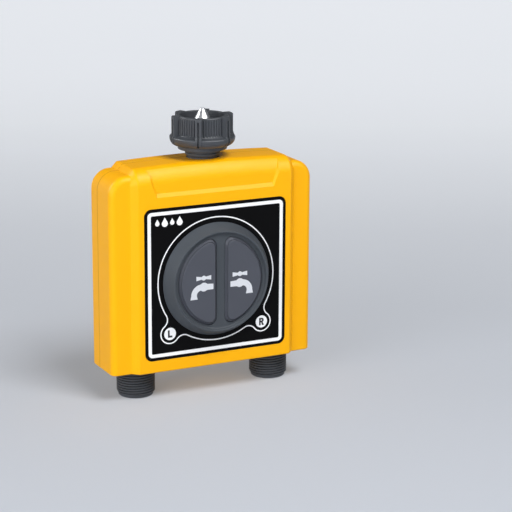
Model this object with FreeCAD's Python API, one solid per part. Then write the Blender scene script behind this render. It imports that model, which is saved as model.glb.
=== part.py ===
"""Two-outlet battery hose timer for drip irrigation, built from its separate pieces.

Millimetres. +Z is up, the front panel faces -Y and +X is the right-hand side seen from the front.
Z = 0 is the plane of the two outlet ends, X = 0 is the middle of the case, and Y = 0 is halfway
between the button faces and the back of the inlet nut.
"""
import FreeCAD, Part
import math
import os

os.makedirs("parts", exist_ok=True)
V = FreeCAD.Vector
ALONG_X = V(1, 0, 0)
ALONG_Y = V(0, 1, 0)
ALONG_Z = V(0, 0, 1)

# ---- driving dimensions: the case -------------------------------------------------------------
CASE_HALF_WIDTH = 75.0
PANEL_Y = -17.6            # the flat front of the middle band
CASE_BACK_Y = 23.0
PARTING_Y = 9.2            # where the front and rear shells meet
CASE_BOTTOM_Z = 20.0
WING_TOP_Z = 156.5         # top of the two lower side wings
BAND_TOP_Z = 160.5         # top of the raised middle band at its edges
BAND_CROWN = 1.4           # how much higher the band is in its middle
BAND_HALF_WIDTH = 56.6
BAND_CROWN_R = (BAND_HALF_WIDTH ** 2 + BAND_CROWN ** 2) / (2 * BAND_CROWN)
BAND_STEP = 4.2            # how far the band stands proud of the wings, front and top
BAND_BROW_R = 11.0         # rounding where the band turns over the top
BROW_RECESS = 1.3          # depth of the shallow trapezoid above the label
WALL = 2.5
WING_CORNER_R = 13.0
WING_EDGE_R = 4.3
BACK_EDGE_R = 4.0
FOOT_EDGE_R = 1.2
BAND_EDGE_R = 1.6
FAR = 100.0                # clear of the part on every side

# ---- driving dimensions: the front panel -------------------------------------------------------
DIAL_Z = 81.3              # height of the label's and the dial's centre
LABEL_SIDE = 105.0
LABEL_CORNER_R = 5.0
LABEL_THICK = 0.5
LABEL_POCKET = 0.4
DIAL_HOLE_R = 36.2
BEZEL_BASE_R = 39.4
BEZEL_RIDGE_R = 34.4
BEZEL_RIDGE_RISE = 9.2     # ridge above the panel
DISH_RISE = 7.0            # the dish the buttons lie in, above the panel
BUTTON_RISE = 9.1          # button faces above the panel
BUTTON_R = 31.0            # outer arc of the half-moon buttons
BUTTON_EDGE_X = 3.3        # their straight inner edge
BUTTON_CORNER_R = 5.0
BUTTON_FLANK = 1.1         # how far the sloping flank runs in
BUTTON_FACE_STEP = 0.6     # the face stands this far above the flank's top
BUTTON_GAP = 0.3
POST_X = 17.5              # button posts and switches, either side of the middle

# ---- driving dimensions: the water path --------------------------------------------------------
WATER_Y = 4.5              # the inlet and both outlets lie in this plane
OUTLET_X = 50.7
HOSE_CREST_R = 13.22       # G 3/4 pipe thread, male: 26.44 mm over the crests
HOSE_ROOT_R = 12.06
HOSE_PITCH = 25.4 / 14
HOSE_BORE_R = 9.5
OUTLET_TIP_R = 12.0
OUTLET_TIP_LENGTH = 2.2
CROSS_TUBE_Z = 134.0
PIPE_R = 9.0
PIPE_BORE_R = 6.2
SOCKET_TOP_Z = 76.0        # the risers plug into the valve bodies here
VALVE_Z = 42.0             # the valves' horizontal axis
NECK_R = 13.3
NECK_WAIST_R = 10.9        # where the two shells close round it
NECK_TOP_Z = 167.0
COLLAR_R = 12.3            # the neck's collar, which shows between the case and the nut
NUT_BOTTOM_Z = 167.5
NUT_TOP_Z = 190.6
NUT_RING_R = 17.8
NUT_LUG_R = 21.8
NUT_WIDEST_R = 22.3        # the bowl below the ring
NUT_FOOT_R = 22.7          # the lugs' feet
NUT_WIDEST_Z = 175.7
NUT_BORE_R = 13.7          # room for the washer, below the thread
NUT_THREAD_R = 12.3        # crests of the female thread
NUT_THREAD_ROOT_R = 13.45
NUT_THREAD_LOW_Z = 178.2
NUT_THREAD_TOP_Z = 184.0
NUT_MOUTH_R = 15.2
NUT_LUGS = 6
NUT_LUG_TURN = -2.0        # degrees from +X to the first lug
FILTER_TIP_Z = 194.8

# ---- driving dimensions: batteries and board ---------------------------------------------------
AA_R = 7.25
AA_LENGTH = 50.5
CELL_PITCH = 15.0
CELL_Y = 12.6
TRAY_MID_Z = 94.8
TRAY_HALF_WIDTH = 30.2
TRAY_HALF_HEIGHT = 27.1
DOOR_HALF_WIDTH = 36.0
DOOR_HALF_HEIGHT = 36.2
DOOR_THICK = 2.2
DOOR_SCREW_REACH = 32.0    # door screws above and below the tray's middle
BOARD_FRONT_Y = -8.6
BOARD_THICK = 1.6


# ---- small helpers -----------------------------------------------------------------------------
def write(name, shape):
    """Save one sub-part."""
    shape.exportStep("parts/" + name + ".step")
    solids = len(shape.Solids)
    print("%-22s solids %d volume %9.1f valid %s" % (name, solids, shape.Volume, shape.isValid()))


def box(x0, x1, y0, y1, z0, z1):
    """A block between two corners."""
    return Part.makeBox(x1 - x0, y1 - y0, z1 - z0, V(x0, y0, z0))


def rod(radius, start, length, along):
    """A cylinder from its start point along an axis."""
    return Part.makeCylinder(radius, length, start, along)


def tube(outer, inner, start, length, along):
    """A round pipe with a through bore."""
    return rod(outer, start, length, along).cut(rod(inner, start, length, along))


def is_flat(bounds, axis, value):
    """True where an edge lies in the plane axis = value."""
    low = getattr(bounds, axis + "Min")
    high = getattr(bounds, axis + "Max")
    return abs(low - value) < 0.01 and abs(high - value) < 0.01


def fillet(shape, radius, wanted):
    """Round the edges whose bounds pass a test."""
    edges = [edge for edge in shape.Edges if wanted(edge.BoundBox)]
    return shape.makeFillet(radius, edges)


def join(shapes):
    """One solid from several that meet."""
    return shapes[0].multiFuse(shapes[1:]).removeSplitter()


def group(shapes):
    """Separate solids kept in one node."""
    return Part.makeCompound(shapes)


def mirrored(shape):
    """The same piece on the other side of X = 0."""
    return shape.mirror(V(0, 0, 0), ALONG_X)


def turned(profile, centre):
    """Revolve an (r, z) outline of lines and arcs about the upright axis through centre.

    Each entry is a point (r, z), or (r, z, mid_r, mid_z) for an arc that ends there.
    """
    edges = []
    last = V(profile[0][0], 0, profile[0][1])
    for entry in profile[1:] + profile[:1]:
        point = V(entry[0], 0, entry[1])
        if len(entry) == 4:
            middle = V(entry[2], 0, entry[3])
            edges.append(Part.Arc(last, middle, point).toShape())
        elif point.distanceToPoint(last) > 1e-6:
            edges.append(Part.LineSegment(last, point).toShape())
        last = point
    face = Part.Face(Part.Wire(edges))
    solid = face.revolve(V(0, 0, 0), ALONG_Z, 360)
    solid.translate(centre)
    return solid


def facing_front(solid, y, z):
    """Turn an upright revolved piece so that its +Z end points at -Y, and place it."""
    solid.rotate(V(0, 0, 0), ALONG_X, 90)
    solid.translate(V(0, y, z))
    return solid


def rounded_plate(half_x, z0, z1, radius, y0, y1):
    """A plate in the XZ plane with four rounded corners."""
    plate = box(-half_x, half_x, y0, y1, z0, z1)
    edges = [edge for edge in plate.Edges if edge.BoundBox.YLength > 0.9 * (y1 - y0)]
    return plate.makeFillet(radius, edges)


def thread_groove(mouth_r, root_r, centre, height):
    """A helical V groove about an upright axis, to be cut from a shaft or out of a bore."""
    half_mouth = 0.66
    half_root = 0.16
    helix = Part.makeHelix(HOSE_PITCH, height, root_r)
    corners = [V(root_r, 0, -half_root), V(mouth_r, 0, -half_mouth),
               V(mouth_r, 0, half_mouth), V(root_r, 0, half_root)]
    outline = Part.makePolygon(corners + corners[:1])
    groove = Part.Wire(helix.Edges).makePipeShell([outline], True, True)
    groove.translate(centre)
    return groove


def coil_spring(radius, wire_r, turns, length, start, along):
    """A helical spring, its wire drawn with eight sides."""
    helix = Part.makeHelix(length / turns, length, radius)
    corners = [V(radius + wire_r * math.cos(math.pi / 4 * k), 0, wire_r * math.sin(math.pi / 4 * k))
               for k in range(8)]
    section = Part.makePolygon(corners + corners[:1])
    spring = Part.Wire(helix.Edges).makePipeShell([section], True, True)
    spring.Placement = FreeCAD.Placement(start, FreeCAD.Rotation(ALONG_Z, along))
    return spring


def lead(points, radius):
    """A wire: straight runs joined by tangent arcs as large as the runs allow."""
    edges = []
    last = points[0]
    for before, corner, after in zip(points, points[1:], points[2:]):
        inward = before.sub(corner).normalize()
        outward = after.sub(corner).normalize()
        turn = math.pi - inward.getAngle(outward)
        reach = 0.45 * min(before.distanceToPoint(corner), after.distanceToPoint(corner))
        bend_r = reach / math.tan(turn / 2)
        start = corner.add(V(inward).multiply(reach))
        end = corner.add(V(outward).multiply(reach))
        bisector = inward.add(outward).normalize()
        depth = bend_r * (1 / math.cos(turn / 2) - 1)
        middle = corner.add(V(bisector).multiply(depth))
        edges.append(Part.LineSegment(last, start).toShape())
        edges.append(Part.Arc(start, middle, end).toShape())
        last = end
    edges.append(Part.LineSegment(last, points[-1]).toShape())
    direction = points[1].sub(points[0]).normalize()
    section = Part.Wire(Part.Circle(points[0], direction, radius).toShape())
    return Part.Wire(edges).makePipeShell([section], True, False)


# ---- case --------------------------------------------------------------------------------------
def case_block(inset):
    """The whole case as one block, or its cavity when inset is the wall thickness."""
    half = CASE_HALF_WIDTH - inset
    back = CASE_BACK_Y - inset
    bottom = CASE_BOTTOM_Z + inset
    wing_front = PANEL_Y + BAND_STEP + inset
    wing_top = WING_TOP_Z - inset
    solid_outside = inset == 0

    slab = box(-half, half, wing_front, back, bottom, wing_top)
    depth = back - wing_front
    slab = fillet(slab, WING_CORNER_R - inset,
                  lambda b: is_flat(b, "Z", wing_top) and b.YLength > 0.9 * depth)
    if solid_outside:
        slab = fillet(slab, WING_EDGE_R,
                      lambda b: is_flat(b, "Y", wing_front) and not is_flat(b, "Z", bottom))
        slab = fillet(slab, BACK_EDGE_R,
                      lambda b: is_flat(b, "Y", back) and not is_flat(b, "Z", bottom))
        slab = fillet(slab, FOOT_EDGE_R, lambda b: is_flat(b, "Z", bottom))

    crown_z = BAND_TOP_Z + BAND_CROWN - BAND_CROWN_R
    flat_half = BAND_HALF_WIDTH - inset * math.tan(math.radians(22.5))
    bevel = BAND_STEP + 0.2
    end = flat_half + bevel
    front = PANEL_Y + inset
    band = box(-end, end, front, back, bottom, BAND_TOP_Z + 10)
    band = band.common(rod(BAND_CROWN_R - inset, V(0, front - 10, crown_z), 80, ALONG_Y))
    band = fillet(band, BAND_BROW_R - inset, lambda b: is_flat(b, "Y", front) and b.ZMin > DIAL_Z)
    sides = [edge for edge in band.Edges
             if (is_flat(edge.BoundBox, "X", end) or is_flat(edge.BoundBox, "X", -end))
             and not is_flat(edge.BoundBox, "Z", bottom) and not is_flat(edge.BoundBox, "Y", back)]
    band = band.makeChamfer(bevel, sides)
    if solid_outside:
        band = fillet(band, BAND_EDGE_R,
                      lambda b: b.XLength < 1 and abs(abs(b.XMin) - flat_half) < 0.35)
        band = fillet(band, BACK_EDGE_R, lambda b: is_flat(b, "Y", back) and b.ZMax > BAND_TOP_Z - 10)
        band = fillet(band, FOOT_EDGE_R, lambda b: is_flat(b, "Z", bottom) and b.XLength > half)
    return slab.fuse(band).removeSplitter()


def ring_in_wall(block, outer_inset, inner_inset, y0, y1):
    """A thin frame that follows the case's outline between two depths in its wall."""
    outline = block.slice(ALONG_Y, PARTING_Y)[0]
    outer = Part.Face(outline.makeOffset2D(-outer_inset) if outer_inset else outline)
    inner = Part.Face(outline.makeOffset2D(-inner_inset))
    ring = outer.cut(inner).extrude(V(0, y1 - y0, 0))
    ring.translate(V(0, y0 - PARTING_Y, 0))
    return ring


def pipe_clearances():
    """Round passages for the neck and the two outlets."""
    neck = rod(NECK_WAIST_R + 0.3, V(0, WATER_Y, 150), 20, ALONG_Z)
    outlets = [rod(HOSE_CREST_R + 0.3, V(side * OUTLET_X, WATER_Y, CASE_BOTTOM_Z - 5), 12, ALONG_Z)
               for side in (-1, 1)]
    return [neck] + outlets


CASE_SCREWS = [(side * 67.0, z) for side in (-1, 1) for z in (30.0, 88.0, 139.0)]
BOSS_R = 3.9
PILOT_R = 1.25
SCREW_SHANK_R = 1.5
SCREW_HEAD_R = 2.8
SCREW_HEAD_RECESS = 5.0
DOOR_SCREWS_Z = (TRAY_MID_Z - DOOR_SCREW_REACH, TRAY_MID_Z + DOOR_SCREW_REACH)


def band_top_z(x):
    """Height of the crowned top of the band."""
    drop = BAND_CROWN_R - math.sqrt(BAND_CROWN_R ** 2 - x ** 2)
    return BAND_TOP_Z + BAND_CROWN - drop


def panel_recess():
    """The shallow trapezoid let into the band: its banks slope, and it fades out over the brow."""
    floor_y = PANEL_Y + BROW_RECESS
    floor_low_z = 143.9
    floor_half = 42.8
    lean = 0.38            # the ends spread by this much per millimetre of height
    end_bank = 1.3         # and slope by this much per millimetre of depth, down to the floor
    foot_bank = 2.0
    ahead = 2.0            # how far the cutting shape starts in front of the floor
    floor_r = 13.0
    rise = 10.0
    front_y = floor_y - ahead

    def section(x):
        brow_z = band_top_z(x) - BAND_BROW_R

        def floor_point(height):
            bend = floor_r - math.sqrt(floor_r ** 2 - height ** 2)
            return V(x, floor_y + bend, brow_z + height)

        foot = V(x, floor_y, floor_low_z)
        lip = V(x, front_y, floor_low_z - foot_bank * ahead)
        top = floor_point(rise)
        over = V(x, front_y, top.z)
        return Part.Wire([
            Part.LineSegment(lip, foot).toShape(), Part.LineSegment(foot, floor_point(0)).toShape(),
            Part.Arc(floor_point(0), floor_point(rise / 2), top).toShape(),
            Part.LineSegment(top, over).toShape(), Part.LineSegment(over, lip).toShape()])

    bar = Part.makeLoft([section(x) for x in (-56.0, -28.0, 0.0, 28.0, 56.0)], True, True)

    def ends(y):
        corners = []
        for z, sides in ((120.0, (-1, 1)), (180.0, (1, -1))):
            half = floor_half + lean * (z - floor_low_z) + end_bank * max(floor_y - y, 0)
            corners += [V(side * half, y, z) for side in sides]
        return Part.makePolygon(corners + corners[:1])
    return bar.common(Part.makeLoft([ends(front_y - 1), ends(floor_y), ends(-5.0)], True, True))


def front_housing(block, cavity):
    """Front shell with the label pocket, the dial hole, the brow recess and six screw bosses."""
    shell = block.cut(cavity).common(box(-FAR, FAR, -FAR, PARTING_Y, 0, 2 * FAR))
    wing_inside = PANEL_Y + BAND_STEP + WALL - 0.5
    bosses = [rod(BOSS_R, V(x, wing_inside, z), PARTING_Y - wing_inside, ALONG_Y)
              for x, z in CASE_SCREWS]
    posts = [rod(2.6, V(x, PANEL_Y + WALL - 0.5, z), BOARD_FRONT_Y - PANEL_Y - WALL + 0.5, ALONG_Y)
             for x, z in BOARD_SCREWS]
    shell = join([shell] + bosses + posts)
    holes = [rod(PILOT_R, V(x, PARTING_Y - 16, z), 20, ALONG_Y) for x, z in CASE_SCREWS]
    holes += [rod(1.0, V(x, BOARD_FRONT_Y - 5.0, z), 6, ALONG_Y) for x, z in BOARD_SCREWS]
    half = LABEL_SIDE / 2 + 0.15
    holes.append(rounded_plate(half, DIAL_Z - half, DIAL_Z + half, LABEL_CORNER_R + 0.15,
                               PANEL_Y - 1, PANEL_Y + LABEL_POCKET))
    holes.append(rod(DIAL_HOLE_R, V(0, PANEL_Y - 5, DIAL_Z), 12, ALONG_Y))
    holes.append(panel_recess())
    holes.append(ring_in_wall(block, 0, 0.5, PARTING_Y - 0.2, PARTING_Y))
    holes.append(ring_in_wall(block, 0.9, 1.8, PARTING_Y - 0.8, PARTING_Y))
    return shell.cut(holes + pipe_clearances())


def rear_housing(block, cavity):
    """Rear shell with the battery opening, the door's seat, and the screw bosses."""
    shell = block.cut(cavity).common(box(-FAR, FAR, PARTING_Y, FAR, 0, 2 * FAR))
    inside = CASE_BACK_Y - WALL
    seat_y = CASE_BACK_Y - DOOR_THICK
    bosses = [rod(BOSS_R, V(x, PARTING_Y, z), inside + 0.5 - PARTING_Y, ALONG_Y)
              for x, z in CASE_SCREWS]
    pad = box(-DOOR_HALF_WIDTH - 3, DOOR_HALF_WIDTH + 3, seat_y - WALL, inside + 0.5,
              TRAY_MID_Z - DOOR_HALF_HEIGHT - 1, TRAY_MID_Z + DOOR_HALF_HEIGHT + 3)
    nut_bosses = [rod(3.3, V(0, 14.2, z), 5, ALONG_Y) for z in DOOR_SCREWS_Z]
    shell = join([shell, pad] + bosses + nut_bosses)
    holes = [rod(SCREW_SHANK_R + 0.1, V(x, PARTING_Y - 1, z), 30, ALONG_Y) for x, z in CASE_SCREWS]
    holes += [rod(SCREW_HEAD_R + 0.3, V(x, CASE_BACK_Y - SCREW_HEAD_RECESS, z), 10, ALONG_Y)
              for x, z in CASE_SCREWS]
    holes.append(rounded_plate(DOOR_HALF_WIDTH + 0.3, TRAY_MID_Z - DOOR_HALF_HEIGHT - 0.3,
                               TRAY_MID_Z + DOOR_HALF_HEIGHT + 0.3, 4.3, seat_y, CASE_BACK_Y + 1))
    holes.append(box(-TRAY_HALF_WIDTH, TRAY_HALF_WIDTH, 10, 30,
                     TRAY_MID_Z - TRAY_HALF_HEIGHT, TRAY_MID_Z + TRAY_HALF_HEIGHT))
    holes.append(door_seal_ring(seat_y - 0.8, seat_y))
    holes += [rod(PILOT_R, V(0, 15.0, z), 10, ALONG_Y) for z in DOOR_SCREWS_Z]
    holes.append(ring_in_wall(block, 0, 0.5, PARTING_Y, PARTING_Y + 0.2))
    holes.append(ring_in_wall(block, 0.9, 1.8, PARTING_Y, PARTING_Y + 0.8))
    return shell.cut(holes + pipe_clearances())


def housing_gasket(block):
    """Soft seal in the wall's tongue groove, broken where the pipes pass."""
    ring = ring_in_wall(block, 0.9, 1.8, PARTING_Y - 0.8, PARTING_Y + 0.8)
    return ring.cut(pipe_clearances())


def pan_screw(head_r, head_h, shank_r, shank_length):
    """A pan-head screw pointing down, its head's underside at Z = 0, with a cross slot."""
    head = turned([(0, 0), (head_r, 0), (head_r, 0.45 * head_h),
                   (0, head_h, 0.68 * head_r, 0.88 * head_h)], V(0, 0, 0))
    tip = 0.6 * shank_r
    shank = turned([(0, 0.01), (0, -shank_length), (tip, -shank_length),
                    (shank_r, -shank_length + 1.5), (shank_r, 0.01)], V(0, 0, 0))
    screw = join([head, shank])
    slot_w = 0.32 * head_r
    reach = 0.62 * head_r
    slots = [box(-reach, reach, -slot_w / 2, slot_w / 2, 0.35 * head_h, head_h + 1),
             box(-slot_w / 2, slot_w / 2, -reach, reach, 0.35 * head_h, head_h + 1)]
    return screw.cut(slots)


def set_screw_at(screw, point, head_towards):
    """Place a screw with its head's underside at a point, the head towards a direction."""
    placed = screw.copy()
    placed.Placement = FreeCAD.Placement(point, FreeCAD.Rotation(ALONG_Z, head_towards))
    return placed


def housing_screws():
    """Six screws put in from the back."""
    screw = pan_screw(SCREW_HEAD_R, 2.2, PILOT_R, 24.0)
    seat = CASE_BACK_Y - SCREW_HEAD_RECESS
    return group([set_screw_at(screw, V(x, seat, z), ALONG_Y) for x, z in CASE_SCREWS])


# ---- front panel: label, bezel, buttons, switches ------------------------------------------------
def front_label():
    """Square overlay with the dial's hole."""
    half = LABEL_SIDE / 2
    front = PANEL_Y + LABEL_POCKET - LABEL_THICK
    sheet = rounded_plate(half, DIAL_Z - half, DIAL_Z + half, LABEL_CORNER_R,
                          front, PANEL_Y + LABEL_POCKET)
    return sheet.cut(rod(DIAL_HOLE_R, V(0, PANEL_Y - 5, DIAL_Z), 12, ALONG_Y))


def half_moon(outer_r, edge_x, corner_r, y0, y1, slope=0.0):
    """A D-shaped prism right of the middle, its sides leaning in by slope towards y0."""
    def outline(radius, edge, corner, y):
        top = math.sqrt(radius ** 2 - edge ** 2)
        flat = Part.Face(Part.Wire([
            Part.LineSegment(V(edge, y, DIAL_Z - top), V(edge, y, DIAL_Z + top)).toShape(),
            Part.Arc(V(edge, y, DIAL_Z + top), V(radius, y, DIAL_Z),
                     V(edge, y, DIAL_Z - top)).toShape()]))
        block = flat.extrude(V(0, 1, 0))
        corners = [side for side in block.Edges if side.BoundBox.YLength > 0.9]
        block = block.makeFillet(corner, corners)
        section = block.slice(ALONG_Y, y + 0.5)[0]
        section.translate(V(0, -0.5, 0))
        return section
    if slope == 0:
        return Part.Face(outline(outer_r, edge_x, corner_r, y0)).extrude(V(0, y1 - y0, 0))
    near = outline(outer_r - slope, edge_x + slope * 0.85, corner_r - slope * 0.5, y0)
    far = outline(outer_r, edge_x, corner_r, y1)
    return Part.makeLoft([near, far], True, True)


def control_bezel():
    """Domed ring with a dish, two half-moon openings, a collar and four hooks."""
    ridge_h = BEZEL_RIDGE_RISE
    dish_r = 33.0
    collar_out = DIAL_HOLE_R - 0.3
    collar_in = 33.6
    label_h = LABEL_THICK - LABEL_POCKET
    plate_back = DISH_RISE - 2.0
    ring = turned([(0, plate_back), (collar_in, plate_back), (collar_in, -2.9),
                   (collar_out, -2.9), (collar_out, label_h), (BEZEL_BASE_R, label_h),
                   (BEZEL_BASE_R, 0.6),
                   (BEZEL_RIDGE_R + 0.6, ridge_h - 0.15, BEZEL_BASE_R - 2.15, 4.9),
                   (BEZEL_RIDGE_R - 0.6, ridge_h - 0.25, BEZEL_RIDGE_R, ridge_h),
                   (dish_r + 0.3, DISH_RISE + 0.35), (dish_r - 0.4, DISH_RISE), (0, DISH_RISE)],
                  V(0, 0, 0))
    ring = facing_front(ring, PANEL_Y, DIAL_Z)
    opening = half_moon(BUTTON_R + BUTTON_GAP, BUTTON_EDGE_X - BUTTON_GAP, BUTTON_CORNER_R,
                        PANEL_Y - 12, PANEL_Y)
    ring = ring.cut([opening, mirrored(opening)])
    hook_half = 4.0
    hooks = []
    for k in range(4):
        hook = box(collar_in, DIAL_HOLE_R + 1.2, PANEL_Y + WALL + 0.3, PANEL_Y + WALL + 2.1,
                   -hook_half, hook_half)
        hook.rotate(V(0, 0, 0), ALONG_Y, 45 + 90 * k)
        hook.translate(V(0, 0, DIAL_Z))
        hooks.append(hook)
    return join([ring] + hooks)


def key_moon(inset, y0, y1):
    """The key's outline drawn in evenly, as a prism."""
    return half_moon(BUTTON_R - inset, BUTTON_EDGE_X + 0.85 * inset, BUTTON_CORNER_R - 0.5 * inset,
                     y0, y1)


def right_button():
    """Half-moon key: sloping flank, grooved and rounded face, retaining lip, and its post."""
    face_y = PANEL_Y - BUTTON_RISE
    shoulder_y = face_y + BUTTON_FACE_STEP
    dish_y = PANEL_Y - DISH_RISE
    lip_y = dish_y + 2.0 + BUTTON_GAP
    groove_out = BUTTON_FLANK + 0.12
    groove_in = groove_out + 0.36
    groove_y = shoulder_y + 0.45
    flank = half_moon(BUTTON_R, BUTTON_EDGE_X, BUTTON_CORNER_R, shoulder_y, dish_y, BUTTON_FLANK)
    waist = half_moon(BUTTON_R, BUTTON_EDGE_X, BUTTON_CORNER_R, dish_y, lip_y)
    lip = half_moon(BUTTON_R + 1.1, BUTTON_EDGE_X - 1.3, BUTTON_CORNER_R, lip_y, lip_y + 1.2)
    post = rod(3.0, V(POST_X, lip_y, DIAL_Z), SWITCH_TOP_Y - lip_y, ALONG_Y)
    rib_half = 0.6
    rib_reach_x = 9.0
    rib_reach_z = 14.0
    rib_y = (lip_y + 0.5, lip_y + 2.6)
    ribs = [box(POST_X - rib_reach_x, POST_X + rib_reach_x, *rib_y,
                DIAL_Z - rib_half, DIAL_Z + rib_half),
            box(POST_X - rib_half, POST_X + rib_half, *rib_y,
                DIAL_Z - rib_reach_z, DIAL_Z + rib_reach_z)]
    face = fillet(key_moon(groove_in, face_y, groove_y + 0.3), 0.5,
                  lambda b: is_flat(b, "Y", face_y))
    pocket = key_moon(groove_out, shoulder_y - 0.5, groove_y)
    return join([flank, waist, lip, post] + ribs).cut(pocket).fuse(face)


SWITCH_BODY_H = 3.4
SWITCH_TOP_Y = BOARD_FRONT_Y - SWITCH_BODY_H - 1.5
MEMBRANE_Y = -15.6


def button_membrane():
    """Silicone sheet behind the keys, with a raised collar round each post."""
    sheet = rod(33.3, V(0, MEMBRANE_Y, DIAL_Z), 0.8, ALONG_Y)
    collars = [rod(5.0, V(side * POST_X, MEMBRANE_Y - 1.0, DIAL_Z), 2.0, ALONG_Y)
               for side in (-1, 1)]
    holes = [rod(3.3, V(side * POST_X, MEMBRANE_Y - 5, DIAL_Z), 10, ALONG_Y) for side in (-1, 1)]
    return join([sheet] + collars).cut(holes)


def right_switch():
    """Tactile switch housing with legs through the board."""
    body = box(POST_X - 6, POST_X + 6, BOARD_FRONT_Y - SWITCH_BODY_H, BOARD_FRONT_Y,
               DIAL_Z - 6, DIAL_Z + 6)
    body = fillet(body, 0.6, lambda b: b.YLength > 3)
    well = rod(3.4, V(POST_X, BOARD_FRONT_Y - SWITCH_BODY_H - 1, DIAL_Z), 3.4, ALONG_Y)
    return body.cut(well)


def right_switch_plunger():
    """The switch's moving cap: it stands out of the housing and touches the button's post."""
    return rod(3.1, V(POST_X, SWITCH_TOP_Y, DIAL_Z), 2.7, ALONG_Y)


# ---- control board -----------------------------------------------------------------------------
BOARD_SCREWS = [(side * 34.0, z) for side in (-1, 1) for z in (64.5, 126.0)]
BOARD_HALF = 38.0
BOARD_LOW_Z = 60.5
BOARD_HIGH_Z = 129.0
BOARD_BACK_Y = BOARD_FRONT_Y + BOARD_THICK


def control_board():
    """Circuit board with four screw holes."""
    board = rounded_plate(BOARD_HALF, BOARD_LOW_Z, BOARD_HIGH_Z, 3.0, BOARD_FRONT_Y, BOARD_BACK_Y)
    return board.cut([rod(1.6, V(x, BOARD_FRONT_Y - 1, z), 4, ALONG_Y) for x, z in BOARD_SCREWS])


def board_screws():
    """Four small screws from the board's back into the front shell's posts."""
    screw = pan_screw(2.3, 1.5, 1.0, 5.6)
    return group([set_screw_at(screw, V(x, BOARD_BACK_Y, z), ALONG_Y) for x, z in BOARD_SCREWS])


def radio_module():
    """Shielded radio module on its own small carrier, on the board's back."""
    carrier = box(-9, 9, BOARD_BACK_Y, BOARD_BACK_Y + 0.8, 98, 122)
    can = fillet(box(-7.5, 7.5, BOARD_BACK_Y + 0.8, BOARD_BACK_Y + 3.0, 99, 114), 0.5,
                 lambda b: b.YLength > 2)
    return join([carrier, can])


def microcontroller():
    """Flat chip package with legs on four sides."""
    y0 = BOARD_BACK_Y
    package = box(-5, 5, y0 + 0.3, y0 + 1.7, 77, 87)
    legs = []
    for k in range(8):
        offset = -3.85 + 1.1 * k
        legs.append(box(offset - 0.2, offset + 0.2, y0, y0 + 0.9, 76, 88))
        legs.append(box(-6, 6, y0, y0 + 0.9, 82 + offset - 0.2, 82 + offset + 0.2))
    return join([package] + legs)


def drive_capacitors():
    """Two can capacitors that store the valve pulses, lying under the board's lower edge."""
    cans = []
    for side in (-1, 1):
        can = turned([(0, 0), (4.0, 0), (4.0, 1.2), (3.7, 1.6), (4.0, 2.0), (4.0, 12.0),
                      (3.6, 12.4), (0, 12.4)], V(side * 27.0, BOARD_BACK_Y + 4.05, 72.0))
        cans.append(can)
    return group(cans)


def board_connectors():
    """Three white lead headers along the board's lower edge."""
    headers = []
    for x in (-14.0, 0.0, 14.0):
        shell = box(x - 4, x + 4, BOARD_BACK_Y, BOARD_BACK_Y + 5.5, 62, 68)
        headers.append(shell.cut(box(x - 3.2, x + 3.2, BOARD_BACK_Y + 1, BOARD_BACK_Y + 4.7,
                                     60, 66)))
    return group(headers)


# ---- batteries ---------------------------------------------------------------------------------
CELL_LOW_Z = TRAY_MID_Z - TRAY_HALF_HEIGHT + 2.9
CELL_X = [CELL_PITCH * (k - 1.5) for k in range(4)]
CONTACT_THICK = 0.4


def battery_tray():
    """Open box for four cells, with low saddle ribs between them."""
    wall = 1.5
    back = CASE_BACK_Y - DOOR_THICK - WALL
    floor_y = CELL_Y - AA_R - 0.15
    outer = box(-TRAY_HALF_WIDTH - wall, TRAY_HALF_WIDTH + wall, floor_y - wall, back,
                TRAY_MID_Z - TRAY_HALF_HEIGHT - wall, TRAY_MID_Z + TRAY_HALF_HEIGHT + wall)
    inner = box(-TRAY_HALF_WIDTH, TRAY_HALF_WIDTH, floor_y, back,
                TRAY_MID_Z - TRAY_HALF_HEIGHT, TRAY_MID_Z + TRAY_HALF_HEIGHT)
    tray = outer.cut(inner)
    saddles = [box(x - 0.5, x + 0.5, floor_y - 0.5, floor_y + 2.2, z - 1, z + 1)
               for x in (-CELL_PITCH, 0, CELL_PITCH) for z in (80, 109)]
    return join([tray] + saddles)


def battery(index):
    """One AA cell: can, end shoulder and the raised positive cap."""
    x = CELL_X[index]
    cap_h = 1.0
    body_h = AA_LENGTH - cap_h
    cell = turned([(0, 0), (AA_R - 0.5, 0), (AA_R, 0.5), (AA_R, body_h - 0.5),
                   (AA_R - 0.5, body_h), (2.75, body_h), (2.75, AA_LENGTH), (0, AA_LENGTH)],
                  V(0, 0, 0))
    if index % 2:
        cell.rotate(V(0, 0, AA_LENGTH / 2), ALONG_X, 180)
        cell.translate(V(x, CELL_Y, 2 * TRAY_MID_Z - CELL_LOW_Z - AA_LENGTH))
    else:
        cell.translate(V(x, CELL_Y, CELL_LOW_Z))
    return cell


def battery_contacts():
    """Plates joining the cells in series: flat at each positive cap, behind each spring."""
    low = TRAY_MID_Z - TRAY_HALF_HEIGHT
    high = TRAY_MID_Z + TRAY_HALF_HEIGHT
    plates = []
    for z0, pairs in ((low, ((0, 1), (2, 3))), (high - CONTACT_THICK, ((1, 2), (0, 0), (3, 3)))):
        for first, last in pairs:
            plates.append(box(CELL_X[first] - 5.5, CELL_X[last] + 5.5, CELL_Y - 5.5, CELL_Y + 5.5,
                              z0, z0 + CONTACT_THICK))
    return group(plates)


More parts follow.
